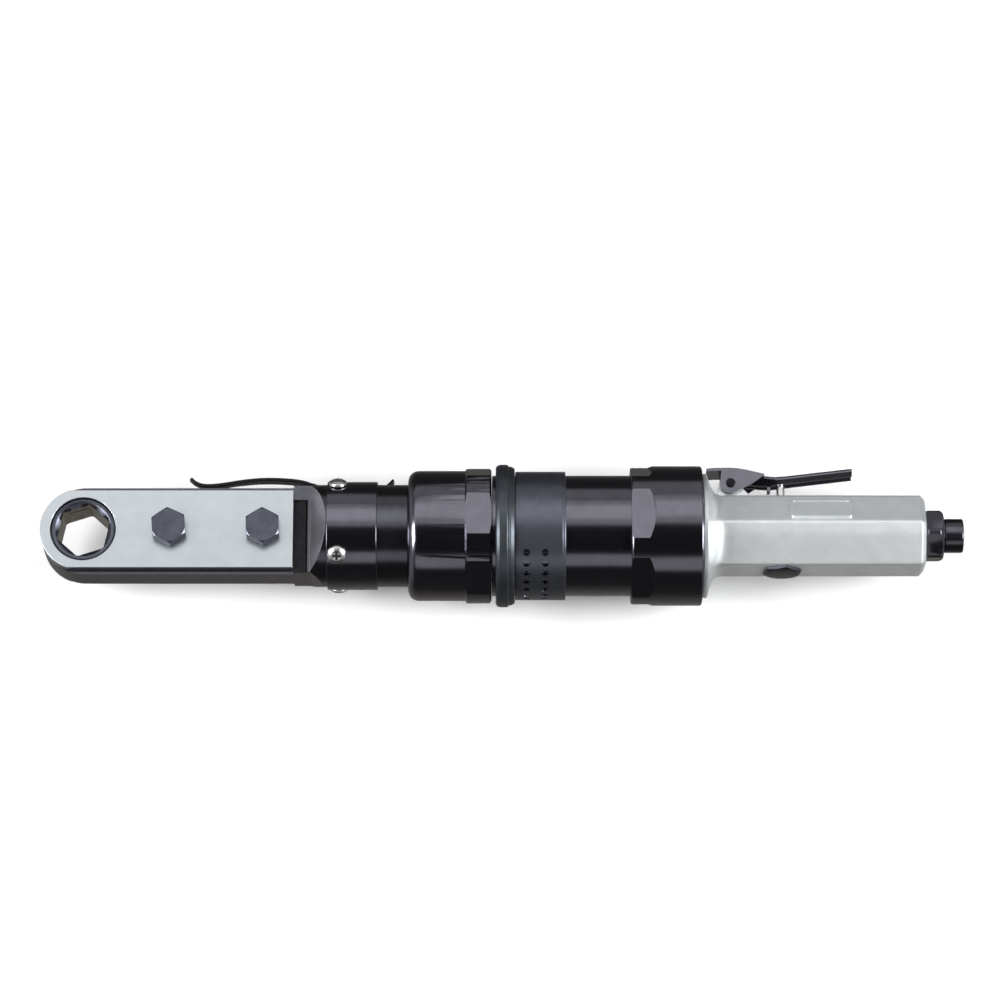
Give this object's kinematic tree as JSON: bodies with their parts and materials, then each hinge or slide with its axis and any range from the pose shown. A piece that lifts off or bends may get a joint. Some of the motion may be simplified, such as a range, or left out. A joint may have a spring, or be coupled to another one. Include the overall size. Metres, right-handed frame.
{
  "type": "air ratchet",
  "caption": "Pneumatic ratchet wrench with a long closed head, hexagonal drive socket, exhaust sleeve and lever throttle on a hexagonal grip.",
  "frame": {"origin": "middle of the bounding box at the lowest point, under the tool's axis, with the tool lying on its side", "axes": "+X from the socket to the air inlet, +Y towards the throttle lever, +Z out of the head's front plate"},
  "size_m": [0.3682, 0.057, 0.057],
  "materials": {
    "zinc_plate": "bright zinc-plated sheet steel, fine satin grain",
    "black_oxide": "black oxide steel, satin",
    "socket_steel": "dark hardened steel, oiled",
    "black_anodised": "black anodised aluminium, semi-gloss",
    "black_paint": "black painted steel, semi-gloss",
    "black_rubber": "matte black rubber",
    "sleeve_plastic": "matte black moulded plastic",
    "cast_aluminium": "polished cast aluminium",
    "nickel": "bright nickel-plated steel",
    "gear_steel": "ground steel",
    "bronze": "sintered bronze",
    "phenolic": "fibre-filled phenolic",
    "spring_steel": "black spring steel"
  },
  "bodies": {
    "tool": {"front_plate": "zinc_plate", "back_plate": "zinc_plate", "head_housing": "black_anodised", "bolt_spacer_1": "gear_steel", "bolt_spacer_2": "gear_steel", "head_bolt_1": "black_oxide", "head_bolt_2": "black_oxide", "head_nut_1": "black_oxide", "head_nut_2": "black_oxide", "collar": "black_paint", "collar_screw_1": "nickel", "collar_screw_2": "nickel", "collar_screw_3": "nickel", "collar_screw_4": "nickel", "crank_bearing_front": "gear_steel", "crank_bearing_rear": "gear_steel", "gear_case": "black_paint", "ring_gear": "gear_steel", "motor_cylinder": "gear_steel", "front_end_plate": "gear_steel", "rear_end_plate": "gear_steel", "front_rotor_bearing": "nickel", "rear_rotor_bearing": "nickel", "motor_case": "black_paint", "bumper_ring": "black_rubber", "clamp_nut": "black_paint", "handle": "cast_aluminium", "lever_pin": "black_oxide", "stem_bushing": "bronze", "valve_spring": "spring_steel", "valve_cap": "black_oxide", "name_plate": "cast_aluminium", "inlet_bushing": "black_oxide", "inlet_screen": "nickel"},
    "socket": {"socket_ring": "socket_steel"},
    "rocker": {"rocker": "gear_steel", "pawl_pin": "nickel"},
    "pawl": {"pawl": "gear_steel"},
    "leaf": {"leaf_lever": "spring_steel"},
    "crank": {"crankshaft": "gear_steel", "crank_bushing": "bronze", "planet_pin_1": "nickel", "planet_pin_2": "nickel", "planet_pin_3": "nickel"},
    "planet_1": {"planet_gear_1": "gear_steel"},
    "planet_2": {"planet_gear_2": "gear_steel"},
    "planet_3": {"planet_gear_3": "gear_steel"},
    "rotor": {"rotor": "gear_steel", "rotor_pinion": "gear_steel", "vane_1": "phenolic", "vane_2": "phenolic", "vane_3": "phenolic", "vane_4": "phenolic", "vane_5": "phenolic"},
    "exhaust": {"exhaust_sleeve": "sleeve_plastic"},
    "throttle": {"throttle_lever": "black_paint"},
    "valve": {"valve_stem": "nickel"}
  },
  "joints": [
    {"name": "socket_turn", "type": "hinge", "parent": "tool", "child": "socket", "pos_m": [-0.1669, 0, 0.0285], "axis": [0, 0, 1], "continuous": true},
    {"name": "rocker_swing", "type": "hinge", "parent": "tool", "child": "rocker", "pos_m": [-0.1326, 0, 0.0285], "axis": [0, 0, 1], "range_deg": [-4, 4]},
    {"name": "pawl_tilt", "type": "hinge", "parent": "rocker", "child": "pawl", "pos_m": [-0.1438, 0, 0.0285], "axis": [0, 0, 1], "range_deg": [-5, 5], "stiffness_Nm_per_rad": 0.001},
    {"name": "leaf_press", "type": "hinge", "parent": "tool", "child": "leaf", "pos_m": [-0.05975, 0.0195, 0.0285], "axis": [0, 0, 1], "range_deg": [0, 1.5], "stiffness_Nm_per_rad": 0.5},
    {"name": "rotor_spin", "type": "hinge", "parent": "tool", "child": "rotor", "pos_m": [0.0331, 0, 0.0285], "axis": [1, 0, 0], "continuous": true},
    {"name": "crank_spin", "type": "hinge", "parent": "tool", "child": "crank", "pos_m": [-0.0569, 0, 0.0285], "axis": [1, 0, 0], "continuous": true},
    {"name": "planet_spin_1", "type": "hinge", "parent": "crank", "child": "planet_1", "pos_m": [-0.0253, 0.012, 0.0285], "axis": [1, 0, 0], "continuous": true},
    {"name": "planet_spin_2", "type": "hinge", "parent": "crank", "child": "planet_2", "pos_m": [-0.0253, -0.006, 0.03889], "axis": [1, 0, 0], "continuous": true},
    {"name": "planet_spin_3", "type": "hinge", "parent": "crank", "child": "planet_3", "pos_m": [-0.0253, -0.006, 0.01811], "axis": [1, 0, 0], "continuous": true},
    {"name": "exhaust_turn", "type": "hinge", "parent": "tool", "child": "exhaust", "pos_m": [0.0151, 0, 0.0285], "axis": [1, 0, 0], "continuous": true},
    {"name": "lever_press", "type": "hinge", "parent": "tool", "child": "throttle", "pos_m": [0.0914, 0.0204, 0.0285], "axis": [0, 0, -1], "range_deg": [0, 6], "stiffness_Nm_per_rad": 0.3},
    {"name": "valve_slide", "type": "slide", "parent": "tool", "child": "valve", "axis": [0, -1, 0], "range_m": [0, 0.0022], "deforming": ["valve_spring"]}
  ],
  "couplings": [
    {"joint": "crank_spin", "follows": "rotor_spin", "ratio": 0.25},
    {"joint": "planet_spin_1", "follows": "rotor_spin", "ratio": -0.75},
    {"joint": "planet_spin_2", "follows": "rotor_spin", "ratio": -0.75},
    {"joint": "planet_spin_3", "follows": "rotor_spin", "ratio": -0.75},
    {"joint": "valve_slide", "follows": "lever_press", "m_per_rad": 0.0203}
  ]
}
